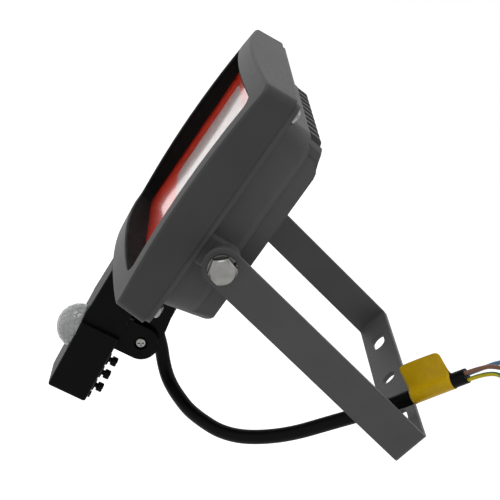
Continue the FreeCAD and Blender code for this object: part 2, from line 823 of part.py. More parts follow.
def make_sensor_bracket():
    """Foot with a hollow threaded spigot above and a tongue with a round knuckle below."""
    foot_u = box_bottom_u - foot_thickness
    foot = block(-foot_half_x, foot_half_x, -foot_front_n, -foot_back_n, foot_u, box_bottom_u)
    corners = [e for e in foot.Edges if e.BoundBox.ZLength > 1]
    foot = foot.makeFillet(foot_corner_radius, corners)
    points = ((-7.0, foot_u), (5.0, foot_u), (hinge_n + knuckle_radius, hinge_u),
              (hinge_n - knuckle_radius, hinge_u))
    tongue = swept_x(points, -knuckle_half_x, knuckle_half_x)
    disc = rod(at(-knuckle_half_x, hinge_n, hinge_u), at(knuckle_half_x, hinge_n, hinge_u), knuckle_radius)
    spigot = rod(at(0, spigot_n, foot_u), at(0, spigot_n, spigot_top_u), spigot_radius)
    shape = foot.fuse([tongue, disc, spigot])
    shape = shape.cut(rod(at(0, spigot_n, foot_u - 8), at(0, spigot_n, spigot_top_u + 1),
                          spigot_bore_radius))
    shape = shape.cut(rod(at(-knuckle_half_x - 1, hinge_n, hinge_u),
                          at(knuckle_half_x + 1, hinge_n, hinge_u), knuckle_bore_radius))
    return shape.removeSplitter()


def make_sensor_lock_nut():
    start = at(0, spigot_n, box_bottom_u + box_floor)
    nut = hexagon(lock_nut_flats, start, Z_AXIS, lock_nut_height)
    return nut.cut(rod(at(0, spigot_n, box_bottom_u), at(0, spigot_n, spigot_top_u + 4), spigot_hole_radius))


def sensor_outer():
    """Outside of the sensor: lower box, recessed band and tapered hood."""
    lower = block(-sensor_half_x, sensor_half_x, sensor_front_y, sensor_back_y, sensor_bottom_z, band_low_z)
    rims = [e for e in lower.Edges if e.BoundBox.ZMax < band_low_z - 0.01 or e.BoundBox.ZLength > 1]
    lower = lower.makeFillet(sensor_corner_radius, rims)
    band = block(-band_half_x, band_half_x, sensor_front_y, sensor_back_y, band_low_z, band_high_z)
    base = hood_wire(sensor_half_x, sensor_front_y, sensor_back_y, band_high_z)
    top = hood_wire(hood_top_half_x, hood_top_front_y, hood_top_back_y, hood_top_z)
    hood = Part.makeLoft([base, top], True, True)
    rims = [e for e in hood.Edges if e.BoundBox.ZMin > band_high_z + 0.01 or e.BoundBox.ZLength > 1]
    hood = hood.makeFillet(sensor_corner_radius, rims)
    return lower.fuse([band, hood])


def hood_wire(half_x, front_y, back_y, z):
    points = [V(-half_x, front_y, z), V(half_x, front_y, z), V(half_x, back_y, z), V(-half_x, back_y, z)]
    return Part.makePolygon(points + [points[0]])


def sensor_hollow():
    wall = sensor_wall
    front = sensor_front_y + wall
    back = sensor_back_y - wall
    lower = block(-sensor_half_x + wall, sensor_half_x - wall, front, back,
                  sensor_bottom_z + wall, band_low_z - wall)
    band = block(-band_half_x + wall, band_half_x - wall, front, back,
                 band_low_z - wall - 1, band_high_z + wall + 1)
    hood_front = hood_top_front_y + wall
    hood_half = hood_top_half_x - wall
    hood = block(-hood_half, hood_half, hood_front, hood_top_back_y - wall,
                 band_high_z + wall, hood_top_z - wall)
    return lower.fuse([band, hood])


def sensor_shell():
    return sensor_outer().cut(sensor_hollow())


def cover_screw_spots():
    for x, z in cover_screw_places:
        yield x, z
        yield -x, z


def make_sensor_case():
    """Front half of the sensor with the round lens opening and screw posts."""
    reach = 60.0
    case = sensor_shell().common(block(-reach, reach, -reach, sensor_seam_y, -reach, reach))
    for x, z in cover_screw_spots():
        case = case.fuse(rod(V(x, sensor_front_y + 1.5, z), V(x, sensor_seam_y, z), cover_boss_radius))
    for x, z in cover_screw_spots():
        case = case.cut(rod(V(x, cover_screw_end_y - 1, z), V(x, sensor_seam_y + 1, z), cover_hole_radius))
    hole = rod(V(0, sensor_front_y - 1, dome_centre_z), V(0, sensor_front_y + sensor_wall, dome_centre_z),
               dome_radius + dome_clearance)
    return case.cut(hole).removeSplitter()


def make_sensor_back_cover():
    """Rear cover with two hinge ears and three knob collars."""
    reach = 60.0
    cover = sensor_shell().common(block(-reach, reach, sensor_seam_y, reach, -reach, reach))
    pieces = []
    for low_x, high_x in ((-ear_outer_x, -ear_inner_x), (ear_inner_x, ear_outer_x)):
        disc = rod(V(low_x, 0, 0), V(high_x, 0, 0), ear_radius)
        web = block(low_x, high_x, sensor_back_y - 1, 0, -ear_radius, ear_radius)
        pieces.append(disc.fuse(web))
    for z in knob_heights:
        pieces.append(rod(V(0, sensor_back_y - 1, z), V(0, sensor_back_y + collar_length, z), collar_radius))
    cover = cover.fuse(pieces)
    cuts = [rod(V(-ear_outer_x - 1, 0, 0), V(ear_outer_x + 1, 0, 0), ear_bore_radius),
            rod(V(ear_outer_x - ear_recess_depth, 0, 0), V(ear_outer_x + 1, 0, 0), ear_recess_radius),
            hexagon(hinge_nut_flats + 0.1, V(-ear_outer_x - 1, 0, 0), X_AXIS, ear_recess_depth + 1)]
    for z in knob_heights:
        cuts.append(rod(V(0, sensor_seam_y, z), V(0, sensor_back_y + collar_length + 1, z),
                        knob_bore_radius))
    for x, z in cover_screw_spots():
        cuts.append(rod(V(x, sensor_seam_y - 1, z), V(x, sensor_back_y + 1, z), cover_hole_radius))
    return cover.cut(cuts).removeSplitter()


def make_dome_lens():
    """Thin round lens with a square flange behind the front wall."""
    centre = V(0, dome_centre_y, dome_centre_z)
    wall_y = sensor_front_y + sensor_wall
    cap = Part.makeSphere(dome_radius, centre, Y_AXIS)
    reach = 60.0
    cap = cap.common(block(-reach, reach, -reach, wall_y, -reach, reach))
    side = sensor_half_x - sensor_wall - 0.2
    plate = block(-side, side, wall_y, dome_flange_back_y, -26.0, band_low_z - sensor_wall - 0.1)
    neck_half = band_half_x - sensor_wall - 0.1
    plate = plate.fuse(block(-neck_half, neck_half, wall_y, dome_flange_back_y, -26.0, 5.0))
    inside = Part.makeSphere(dome_radius - dome_wall, centre, Y_AXIS)
    inside = inside.fuse(rod(centre, V(0, dome_flange_back_y + 1, dome_centre_z), dome_radius - dome_wall))
    return cap.fuse(plate).cut(inside).removeSplitter()


def make_sensor_board():
    half_x = band_half_x - sensor_wall - 0.5
    low_z = sensor_bottom_z + sensor_wall + 4.5
    return block(-half_x, half_x, sensor_board_front_y, sensor_board_front_y + board_thickness, low_z, 12.0)


def make_pir_element():
    start = V(0, sensor_board_front_y, dome_centre_z)
    end = V(0, sensor_board_front_y - pir_length, dome_centre_z)
    return rod(start, end, pir_radius)


def make_potentiometers():
    front_y = sensor_board_front_y + board_thickness
    bodies = []
    for z in knob_heights:
        bodies.append(block(-pot_half, pot_half, front_y, front_y + pot_length, z - pot_half, z + pot_half))
    return Part.makeCompound(bodies)


def make_cover_screws():
    screws = []
    for x, z in cover_screw_spots():
        back = back_face_y(z)
        shank = rod(V(x, cover_screw_end_y, z), V(x, back, z), cover_screw_radius)
        head = rod(V(x, back, z), V(x, back + cover_screw_head_height, z), cover_screw_head_radius)
        slot = block(x - 2.2, x + 2.2, back + cover_screw_head_height - 0.6,
                     back + cover_screw_head_height + 1, z - 0.3, z + 0.3)
        screws.append(shank.fuse(head).cut(slot))
    return Part.makeCompound(screws)


def back_face_y(z):
    """Depth of the sensor's back face at a height; the hood leans forward."""
    if z < band_high_z:
        return sensor_back_y
    share = (z - cover_screw_head_radius - band_high_z) / (hood_top_z - band_high_z)
    return sensor_back_y + share * (hood_top_back_y - sensor_back_y) + cover_screw_seat_gap


def make_hinge_screw():
    """Cross-recess screw through both ears and the knuckle."""
    head_start = ear_outer_x - ear_recess_depth
    shank = rod(V(-ear_outer_x, 0, 0), V(head_start, 0, 0), hinge_screw_radius)
    head = rod(V(head_start, 0, 0), V(head_start + hinge_head_height, 0, 0), hinge_head_radius)
    top = head_start + hinge_head_height
    rims = [e for e in head.Edges if e.BoundBox.XMin > top - 0.01]
    head = head.makeFillet(0.8, rims)
    for turn in (30, 120):
        blade = block(top - 1.1, top + 0.5, -1.8, 1.8, -0.4, 0.4)
        blade.rotate(ORIGIN, X_AXIS, turn)
        head = head.cut(blade)
    return shank.fuse(head).removeSplitter()


def make_hinge_nut():
    start = V(-ear_outer_x + 0.1, 0, 0)
    nut = hexagon(hinge_nut_flats, start, X_AXIS, hinge_nut_height - 0.1)
    return nut.cut(rod(V(-ear_outer_x, 0, 0), V(-ear_inner_x, 0, 0), hinge_screw_radius + 0.02))


def adjusting_knob(z):
    """Slotted knob with a thin stem into the sensor."""
    stem = rod(V(0, knob_stem_end_y, z), V(0, sensor_back_y + knob_cap_start, z), knob_stem_radius)
    cap_end = sensor_back_y + knob_cap_end
    cap = rod(V(0, sensor_back_y + knob_cap_start, z), V(0, cap_end, z), knob_cap_radius)
    rims = [e for e in cap.Edges if e.BoundBox.YLength < 0.01]
    cap = cap.makeChamfer(0.3, rims)
    slot = block(-knob_cap_radius - 1, knob_cap_radius + 1, cap_end - knob_slot_depth, cap_end + 1,
                 z - knob_slot_width / 2, z + knob_slot_width / 2)
    return stem.fuse(cap).cut(slot).removeSplitter()


def make_led_board():
    return block(-led_board_half_x, led_board_half_x, -led_board_back_n - board_thickness, -led_board_back_n,
                 led_board_low_u, led_board_high_u)


def make_led_chips():
    back_n = led_board_back_n + board_thickness
    middle_u = (led_board_low_u + led_board_high_u) / 2
    chips = []
    for column in range(led_columns):
        x = (column - (led_columns - 1) / 2) * led_pitch_x
        for row in range(led_rows):
            u = middle_u + (row - (led_rows - 1) / 2) * led_pitch_u
            chips.append(block(x - led_size_x / 2, x + led_size_x / 2, -back_n - led_height, -back_n,
                               u - led_size_u / 2, u + led_size_u / 2))
    return Part.makeCompound(chips)


def make_driver_module():
    """Potted power supply on the back wall, below the middle."""
    box = block(-driver_half_x, driver_half_x, -driver_front_n, 8.0, driver_low_u + 3.5, driver_high_u)
    rims = [e for e in box.Edges if e.BoundBox.YMin < -driver_front_n + 0.01 and e.BoundBox.YLength < 0.01]
    return box.makeChamfer(1.0, rims)


def bent_path(points):
    """Straight runs joined by tangent arcs, and the arcs' radii."""
    edges = []
    radii = []
    start = points[0]
    for before, corner, after in zip(points, points[1:], points[2:]):
        back = before.sub(corner)
        ahead = after.sub(corner)
        reach = run_share * min(back.Length, ahead.Length)
        back.normalize()
        ahead.normalize()
        half_turn = (math.pi - back.getAngle(ahead)) / 2
        radius = reach / math.tan(half_turn)
        entry = corner.add(V(back).multiply(reach))
        leave = corner.add(V(ahead).multiply(reach))
        inward = back.add(ahead)
        inward.normalize()
        depth = radius / math.cos(half_turn) - radius
        edges.append(Part.LineSegment(start, entry).toShape())
        edges.append(Part.Arc(entry, corner.add(inward.multiply(depth)), leave).toShape())
        radii.append(radius)
        start = leave
    edges.append(Part.LineSegment(start, points[-1]).toShape())
    return Part.Wire(edges), radii


def cord(points, radius, name):
    """Round cord along a bent path; its volume is held against section times length."""
    path, radii = bent_path(points)
    heading = points[1].sub(points[0])
    ring = Part.Wire(Part.makeCircle(radius, points[0], heading))
    body = path.makePipeShell([ring], True, False)
    expected = math.pi * radius ** 2 * path.Length
    print(name, "length", round(path.Length, 1), "radii", [round(r, 1) for r in radii],
          "volume ratio", round(body.Volume / expected, 4))
    return body


def ahead_of_gland(distance):
    """World point on the gland's axis, this far beyond the gland's outer end."""
    marker = Part.Vertex(gland_point(gland_length + distance))
    return lamp_to_world(marker).Point


def cable_route():
    start = ahead_of_gland(cable_exit_gap)
    first = ahead_of_gland(cable_exit_gap + cable_first_run)
    return [start, first] + list(cable_points)


def core_route(shift, onward):
    """Core that leaves the jacket's end and curves to its bare tip."""
    root = cable_points[-1]
    heading = root.sub(cable_points[-2])
    heading.normalize()
    start = root.add(shift)
    first = start.add(V(heading).multiply(core_straight))
    return [start, first] + onward


def sheared(shift):
    """Move a shift vector into the plane of the jacket's end face."""
    heading = cable_points[-1].sub(cable_points[-2])
    heading.normalize()
    return shift.sub(V(heading).multiply(shift.dot(heading)))


def make_supply_cable():
    return cord(cable_route(), cable_radius, "supply_cable")


def make_wire_brown():
    route = core_route(sheared(V(0.9, -2.2, 0.0)), [V(84.5, -7.6, 62.5), V(101.0, -5.0, 70.0)])
    return cord(route, core_radius, "wire_brown")


def make_wire_blue():
    route = core_route(sheared(V(-2.2, 0.4, 0.0)), [V(80.0, -5.6, 65.0), V(93.0, -4.4, 76.0)])
    return cord(route, core_radius, "wire_blue")


def make_wire_green_yellow():
    route = core_route(sheared(V(1.8, 1.6, 0.0)),
                       [V(86.0, -4.4, 60.5), V(98.0, -4.0, 62.5), V(112.0, -3.8, 61.5)])
    return cord(route, core_radius, "wire_green_yellow")


def make_cable_label():
    """Bare folded label: a short sleeve round the cable and a flat flag beside it."""
    low = cable_points[-2]
    high = cable_points[-1]
    along = high.sub(low)
    start = low.add(V(along).multiply(sleeve_start))
    end = low.add(V(along).multiply(sleeve_end))
    along.normalize()
    sleeve = rod(start, end, sleeve_radius)
    side = flag_direction.sub(V(along).multiply(flag_direction.dot(along)))
    side.normalize()
    face = along.cross(side)
    low_edge = start.sub(V(face).multiply(flag_thickness / 2))
    width = V(side).multiply(flag_length)
    height = end.sub(start)
    points = [low_edge, low_edge.add(width), low_edge.add(width).add(height), low_edge.add(height)]
    flag = extruded(points, V(face).multiply(flag_thickness))
    return sleeve.fuse(flag).cut(rod(start.sub(along), end.add(along), sleeve_bore_radius))


LAMP_PIECES = {
    "front_bezel": make_front_bezel,
    "glass_gasket": make_glass_gasket,
    "front_glass": make_front_glass,
    "red_mask_plate": make_red_mask_plate,
    "diffuser_panel": make_diffuser_panel,
    "led_board": make_led_board,
    "led_chips": make_led_chips,
    "driver_module": make_driver_module,
    "rear_housing": make_rear_housing,
    "bezel_screws": make_bezel_screws,
    "pivot_bolts": make_pivot_bolts,
    "spring_washers": make_spring_washers,
    "pivot_washers": make_pivot_washers,
    "cable_gland_body": make_cable_gland_body,
    "cable_gland_nut": make_cable_gland_nut,
    "gland_seal": make_gland_seal,
    "gland_lock_nut": make_gland_lock_nut,
    "sensor_bracket": make_sensor_bracket,
    "sensor_lock_nut": make_sensor_lock_nut}

SENSOR_PIECES = {
    "sensor_case": make_sensor_case,
    "sensor_back_cover": make_sensor_back_cover,
    "dome_lens": make_dome_lens,
    "pir_element": make_pir_element,
    "sensor_board": make_sensor_board,
    "potentiometers": make_potentiometers,
    "cover_screws": make_cover_screws,
    "hinge_screw": make_hinge_screw,
    "hinge_nut": make_hinge_nut}

WORLD_PIECES = {
    "mounting_bracket": make_mounting_bracket,
    "supply_cable": make_supply_cable,
    "cable_label": make_cable_label,
    "wire_brown": make_wire_brown,
    "wire_blue": make_wire_blue,
    "wire_green_yellow": make_wire_green_yellow}

KNOB_NAMES = ("daylight_knob", "time_knob", "sensitivity_knob")


def save(name, shape):
    """Write one sub-part and report its size."""
    solids = len(shape.Solids)
    print(name, "solids", solids, "valid", shape.isValid(), "volume", round(shape.Volume, 1))
    shape.exportStep(os.path.join("parts", name + ".step"))


def main():
    os.makedirs("parts", exist_ok=True)
    for name, make in WORLD_PIECES.items():
        save(name, make())
    for name, make in LAMP_PIECES.items():
        save(name, lamp_to_world(make()))
    for name, make in SENSOR_PIECES.items():
        save(name, sensor_to_world(make()))
    for name, z in zip(KNOB_NAMES, knob_heights):
        save(name, sensor_to_world(adjusting_knob(z)))


main()
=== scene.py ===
"""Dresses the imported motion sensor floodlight: finishes, glass, lens, cable, label and stage."""

import math

import bmesh
import bpy
from bpy.props import FloatProperty, FloatVectorProperty, IntProperty, PointerProperty
from mathutils import Matrix, Vector


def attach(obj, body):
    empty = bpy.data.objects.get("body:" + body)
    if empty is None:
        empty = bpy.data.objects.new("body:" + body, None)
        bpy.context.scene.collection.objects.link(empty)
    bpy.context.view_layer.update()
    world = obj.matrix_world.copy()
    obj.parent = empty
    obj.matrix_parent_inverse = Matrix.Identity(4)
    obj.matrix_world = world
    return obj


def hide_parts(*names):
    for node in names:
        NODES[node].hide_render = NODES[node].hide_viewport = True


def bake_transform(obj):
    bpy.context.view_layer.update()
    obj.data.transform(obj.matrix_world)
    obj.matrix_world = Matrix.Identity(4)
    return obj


bl_info = {
    "name": "Motion Sensor Floodlight",
    "version": (1, 0, 0),
    "blender": (4, 5, 0),
    "location": "View3D > Sidebar > Floodlight",
    "description": "Finishes and soft parts of a wall floodlight with a hinged motion sensor",
    "category": "Object",
}

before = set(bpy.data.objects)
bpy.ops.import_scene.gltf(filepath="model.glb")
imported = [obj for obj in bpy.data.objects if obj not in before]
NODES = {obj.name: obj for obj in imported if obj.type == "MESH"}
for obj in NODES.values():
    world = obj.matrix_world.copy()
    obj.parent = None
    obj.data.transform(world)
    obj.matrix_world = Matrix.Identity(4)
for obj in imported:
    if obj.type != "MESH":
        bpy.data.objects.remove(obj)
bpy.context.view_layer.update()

# Leans and axes of the two joints at rest, as in the CAD source
LAMP_LEAN = math.radians(12.1)
SENSOR_LEAN = math.radians(17.5)
PIVOT = Vector((0.0, -0.140, 0.0))
HINGE = Vector((0.0, -0.119249, -0.082483))

# Control points of the supply cable, from the gland's mouth to the jacket's end.
CABLE_ROUTE = (
    (-0.01550, -0.11379, -0.07619),
    (-0.01580, -0.11136, -0.07913),
    (-0.01620, -0.10281, -0.08409),
    (-0.01537, -0.09476, -0.09034),
    (-0.01003, -0.08657, -0.09435),
    (-0.00043, -0.07788, -0.09438),
    (0.01169, -0.06843, -0.09193),
    (0.03065, -0.05132, -0.08058),
    (0.04264, -0.03584, -0.05539),
    (0.04994, -0.02492, -0.02444),
    (0.05763, -0.01546, 0.00279),
    (0.06100, -0.01320, 0.01580),
    (0.07200, -0.00770, 0.04590),
)
# Control points of the cores, from the jacket's end to their bare tips
BROWN_ROUTE = (
    (0.07292, -0.00989, 0.04596),
    (0.07563, -0.00854, 0.05337),
    (0.08450, -0.00760, 0.06250),
    (0.10100, -0.00500, 0.07000),
)
BLUE_ROUTE = (
    (0.07003, -0.00719, 0.04653),
    (0.07274, -0.00583, 0.05393),
    (0.08000, -0.00560, 0.06500),
    (0.09300, -0.00440, 0.07600),
)
GREEN_YELLOW_ROUTE = (
    (0.07350, -0.00625, 0.04509),
    (0.07621, -0.00490, 0.05249),
    (0.08600, -0.00440, 0.06050),
    (0.09800, -0.00400, 0.06250),
    (0.11200, -0.00380, 0.06150),
)
# Where the label's flag points, away from the cable
FLAG_DIRECTION = Vector((-0.25, -0.93, 0.26))


class CoatSettings(bpy.types.PropertyGroup):
    """Powder coat on the cast and bent metal."""

    colour: FloatVectorProperty(
        name="Coat Colour", description="Anthracite of the powder coat", subtype="COLOR",
        default=(0.072, 0.072, 0.074), min=0.0, max=1.0, size=3)
    roughness: FloatProperty(
        name="Coat Roughness", description="How matt the coat is", subtype="FACTOR",
        default=0.52, min=0.0, max=1.0)
    grain: FloatProperty(
        name="Grain Size", description="Distance between the coat's fine bumps", unit="LENGTH",
        default=0.0007, min=0.0001, max=0.01)
    edge: FloatProperty(
        name="Edge Softness", description="How far the coat rounds the casting's edges", unit="LENGTH",
        default=0.0009, min=0.0, max=0.01)


class WindowSettings(bpy.types.PropertyGroup):
    """Front glass, printed mask and light panel."""

    red: FloatVectorProperty(
        name="Mask Colour", description="Colour printed round the light window", subtype="COLOR",
        default=(0.76, 0.032, 0.008), min=0.0, max=1.0, size=3)
    # The frosted panel is white. Its pink tint here is a painted reflection of the red print round it, and
    # the colour is set well below white.
    white: FloatVectorProperty(
        name="Light Panel Colour", description="Colour of the frosted light panel", subtype="COLOR",
        default=(0.54, 0.43, 0.42), min=0.0, max=1.0, size=3)


class PlasticSettings(bpy.types.PropertyGroup):
    """Moulded parts of the sensor, gland and knobs."""

    case: FloatVectorProperty(
        name="Case Colour", description="Black of the sensor case and gland", subtype="COLOR",
        default=(0.0035, 0.0035, 0.004), min=0.0, max=1.0, size=3)
    lens: FloatVectorProperty(
        name="Lens Colour", description="Milky colour of the sensor's lens", subtype="COLOR",
        default=(0.38, 0.39, 0.39), min=0.0, max=1.0, size=3)
    lens_radius: FloatProperty(
        name="Lens Radius", description="Radius of the round lens", unit="LENGTH",
        default=0.013, min=0.005, max=0.05)


class CableSettings(bpy.types.PropertyGroup):
    """Supply cable, its cores and its label."""

    diameter: FloatProperty(
        name="Cable Diameter", description="Outside diameter of the rubber jacket", unit="LENGTH",
        default=0.008, min=0.003, max=0.02)
    core_diameter: FloatProperty(
        name="Core Diameter", description="Outside diameter of one insulated core", unit="LENGTH",
        default=0.0023, min=0.001, max=0.006)
    rings: IntProperty(
        name="Sides", description="Number of sides round the jacket", default=24, min=8, max=64)
    label: FloatVectorProperty(
        name="Label Colour", description="Yellow of the bare label", subtype="COLOR",
        default=(0.74, 0.46, 0.006), min=0.0, max=1.0, size=3)


class StageSettings(bpy.types.PropertyGroup):
    """Camera, floor and lights."""

    lens: FloatProperty(
        name="Focal Length", description="Focal length on a 36 mm wide sensor, in millimetres",
        default=93.6, min=20.0, max=300.0)
    floor_drop: FloatProperty(
        name="Floor Drop", description="Height of the floor below the pivot axis", unit="LENGTH",
        default=0.19, min=0.1, max=2.0)
    key: FloatProperty(
        name="Key Light", description="Power of the large soft light", unit="POWER",
        default=7.4, min=0.0, max=1000.0)
    ambient: FloatProperty(
        name="Room Light", description="Strength of the even light from all around",
        default=0.32, min=0.0, max=5.0)


def lamp_point(x, n, u):
    """World point from the lamp's own frame: x across, n forward, u up."""
    turn = Matrix.Rotation(LAMP_LEAN, 3, "X")
    return PIVOT + turn @ Vector((x, -n, u))


def sensor_point(x, y, z):
    """World point from the sensor's own frame, which starts at its hinge."""
    turn = Matrix.Rotation(SENSOR_LEAN, 3, "X")
    return HINGE + turn @ Vector((x, y, z))


def new_object(name, mesh, body):
    """Object in the scene, riding on a body where one is given."""
    piece = bpy.data.objects.new(name, mesh)
    bpy.context.scene.collection.objects.link(piece)
    if body:
        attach(piece, body)
    return piece


def mesh_from(name, vertices, faces, smooth=True):
    mesh = bpy.data.meshes.new(name)
    mesh.from_pydata([tuple(v) for v in vertices], [], faces)
    mesh.update()
    for face in mesh.polygons:
        face.use_smooth = smooth
    return mesh


class Finish:
    """One node material built step by step."""

    def __init__(self, name):
        self.material = bpy.data.materials.new(name)
        self.material.use_nodes = True
        self.nodes = self.material.node_tree.nodes
        self.links = self.material.node_tree.links
        self.shader = self.nodes["Principled BSDF"]
        self.place = self.add("ShaderNodeTexCoord").outputs["Object"]

    def add(self, kind, **values):
        node = self.nodes.new(kind)
        for key, value in values.items():
            setattr(node, key, value)
        return node

    def give(self, **values):
        """Set the shader's inputs; a name's underscores stand for spaces."""
        for key, value in values.items():
            self.shader.inputs[key.replace("_", " ")].default_value = value
        return self

    def noise(self, size, detail=2.0, stretch=(1.0, 1.0, 1.0)):
        """Noise whose features are about size metres across."""
        mapping = self.add("ShaderNodeMapping")
        mapping.inputs["Scale"].default_value = stretch
        self.links.new(self.place, mapping.inputs["Vector"])
        texture = self.add("ShaderNodeTexNoise")
        texture.inputs["Scale"].default_value = 1.0 / size
        texture.inputs["Detail"].default_value = detail
        self.links.new(mapping.outputs["Vector"], texture.inputs["Vector"])
        return texture.outputs["Fac"]

    def spread(self, source, low, high, start=0.3, end=0.7):
        """Number that runs from low to high as source runs from start to end."""
        node = self.add("ShaderNodeMapRange")
        node.inputs["From Min"].default_value = start
        node.inputs["From Max"].default_value = end
        node.inputs["To Min"].default_value = low
        node.inputs["To Max"].default_value = high
        self.links.new(source, node.inputs["Value"])
        return node.outputs["Result"]

    def tint(self, source, first, second):
        """Colour that runs from first to second with source."""
        node = self.add("ShaderNodeMix", data_type="RGBA")
        self.links.new(source, node.inputs["Factor"])
        # Inputs 6 and 7 and output 2 are the mix node's colours
        node.inputs[6].default_value = (*first, 1.0)
        node.inputs[7].default_value = (*second, 1.0)
        return node.outputs[2]

    def mottle(self, source, colour, darkest, lightest):
        """Base colour that drifts with source between two shades of one colour."""
        tone = self.spread(source, 0.0, 1.0)
        return self.colour(self.tint(tone, shade(colour, darkest), shade(colour, lightest)))

    def colour(self, source):
        self.links.new(source, self.shader.inputs["Base Color"])
        return self

    def roughness(self, source):
        self.links.new(source, self.shader.inputs["Roughness"])
        return self

    def relief(self, source, depth, strength=1.0, edge=0.0):
        """Bump of a depth in metres, over edges rounded by edge metres."""
        bump = self.add("ShaderNodeBump")
        bump.inputs["Strength"].default_value = strength
        bump.inputs["Distance"].default_value = depth
        self.links.new(source, bump.inputs["Height"])
        if edge > 0.0:
            rounding = self.add("ShaderNodeBevel", samples=6)
            rounding.inputs["Radius"].default_value = edge
            self.links.new(rounding.outputs["Normal"], bump.inputs["Normal"])
        self.links.new(bump.outputs["Normal"], self.shader.inputs["Normal"])
        return self


def shade(colour, factor):
    """Colour made lighter or darker by a factor."""
    return tuple(min(1.0, channel * factor) for channel in colour)


def powder_coat(name, settings, edge, lighter):
    """Matt coat with a fine grain, over edges rounded by edge metres, in a copy made lighter or darker by a
    factor that paints in the light or shade on each piece.
    """
    finish = Finish(name)
    grain = finish.noise(settings.grain, 3.0)
    finish.mottle(finish.noise(0.035, 3.0), shade(settings.colour, lighter), 0.9, 1.1)
    finish.roughness(finish.spread(grain, settings.roughness - 0.06, settings.roughness + 0.1))
    finish.give(Specular_IOR_Level=0.22)
    return finish.relief(grain, 0.00012, 0.35, edge).material


def moulded_plastic(name, colour, roughness, edge=0.0005, depth=0.00004):
    """Plastic as it leaves the mould, with a skin of shallow bumps."""
    finish = Finish(name)
    skin = finish.noise(0.0009)
    finish.mottle(finish.noise(0.012), colour, 0.85, 1.15)
    finish.roughness(finish.spread(skin, roughness - 0.05, roughness + 0.07))
    finish.give(Specular_IOR_Level=0.05)
    return finish.relief(skin, depth, 0.5, edge).material


def bare_metal(name, colour, roughness, along=(1.0, 1.0, 1.0), edge=0.0003, mottled=False):
    """Bare metal with fine lines, stretched by the scale along; mottled metal is worn in patches."""
    finish = Finish(name)
    lines = finish.noise(0.0006, 4.0, along)
    cloud = finish.noise(0.004, 3.0)
    finish.mottle(cloud, colour, 0.82, 1.12)
    finish.roughness(finish.spread(cloud if mottled else lines, roughness - 0.08, roughness + 0.12))
    finish.give(Metallic=1.0)
    return finish.relief(lines, 0.00005, 0.4, edge).material


def rubber_skin(name, colour, roughness):
    """Matt rubber with a little dust on it."""
    finish = Finish(name)
    skin = finish.noise(0.0014, 3.0)
    dust = finish.noise(0.008, 4.0)
    finish.mottle(dust, colour, 0.8, 1.3)
    finish.roughness(finish.spread(dust, roughness - 0.06, roughness + 0.1))
    finish.give(Specular_IOR_Level=0.06)
    return finish.relief(skin, 0.00005, 0.5).material


def printed_mask(name, colour):
    """Even printed plate behind the glass."""
    finish = Finish(name)
    finish.mottle(finish.noise(0.02), colour, 0.93, 1.07)
    finish.give(Roughness=0.3)
    return finish.relief(finish.noise(0.0012), 0.00001, 0.3).material


def frosted_panel(name, colour):
    """Frosted plastic that spreads the light of the chips."""
    finish = Finish(name)
    frost = finish.noise(0.0006)
    finish.mottle(finish.noise(0.05), colour, 0.96, 1.03)
    finish.roughness(finish.spread(frost, 0.5, 0.65))
    return finish.relief(frost, 0.00002, 0.4).material


def clear_glass(name):
    """Clear pane that lets the lights through to what is behind it."""
    finish = Finish(name)
    smear = finish.noise(0.03, 3.0)
    finish.colour(finish.tint(finish.spread(smear, 0.0, 1.0), (0.97, 0.985, 0.98), (1.0, 1.0, 1.0)))
    finish.roughness(finish.spread(smear, 0.06, 0.1))
    finish.give(Transmission_Weight=1.0, IOR=1.22)
    path = finish.add("ShaderNodeLightPath")
    clear = finish.add("ShaderNodeBsdfTransparent")
    either = finish.add("ShaderNodeMixShader")
    out = finish.nodes["Material Output"]
    finish.links.new(path.outputs["Is Shadow Ray"], either.inputs["Fac"])
    finish.links.new(finish.shader.outputs["BSDF"], either.inputs[1])
    finish.links.new(clear.outputs["BSDF"], either.inputs[2])
    finish.links.new(either.outputs["Shader"], out.inputs["Surface"])
    return finish.material


def milky_lens(name, colour):
    """Cloudy plastic that light sinks into."""
    finish = Finish(name)
    cloud = finish.noise(0.006)
    finish.mottle(cloud, colour, 0.92, 1.05)
    finish.roughness(finish.spread(cloud, 0.16, 0.24))
    finish.give(Subsurface_Weight=0.35, Subsurface_Scale=0.003, Coat_Weight=0.3)
    finish.shader.inputs["Subsurface Radius"].default_value = (1.0, 1.0, 1.0)
    return finish.relief(finish.noise(0.0008), 0.00001, 0.3).material


def yellow_film(name, colour):
    """Thin printed film with soft dents."""
    finish = Finish(name)
    cloud = finish.noise(0.006, 3.0)
    finish.mottle(cloud, colour, 0.9, 1.04)
    finish.roughness(finish.spread(cloud, 0.2, 0.32))
    finish.give(Specular_IOR_Level=0.15)
    return finish.relief(cloud, 0.0003, 0.3).material


def board_finish(name, colour, spot):
    """Circuit board with plated spots."""
    finish = Finish(name)
    cells = finish.add("ShaderNodeTexVoronoi")
    cells.inputs["Scale"].default_value = 320.0
    finish.links.new(finish.place, cells.inputs["Vector"])
    distance = cells.outputs["Distance"]
    finish.colour(finish.tint(finish.spread(distance, 1.0, 0.0, 0.1, 0.16), colour, spot))
    finish.give(Roughness=0.4)
    return finish.relief(distance, 0.00004, 0.3).material


def dress(material, *nodes, smooth=None):
    """Give CAD nodes a finish, and smooth shading below an angle in degrees if one is given."""
    for name in nodes:
        mesh = NODES[name].data
        mesh.materials.clear()
        mesh.materials.append(material)
        if smooth:
            smooth_by_angle(mesh, smooth)


def smooth_by_angle(mesh, degrees):
    """Smooth shading that stays sharp at edges steeper than the angle."""
    for face in mesh.polygons:
        face.use_smooth = True
    mesh.set_sharp_from_angle(angle=math.radians(degrees))


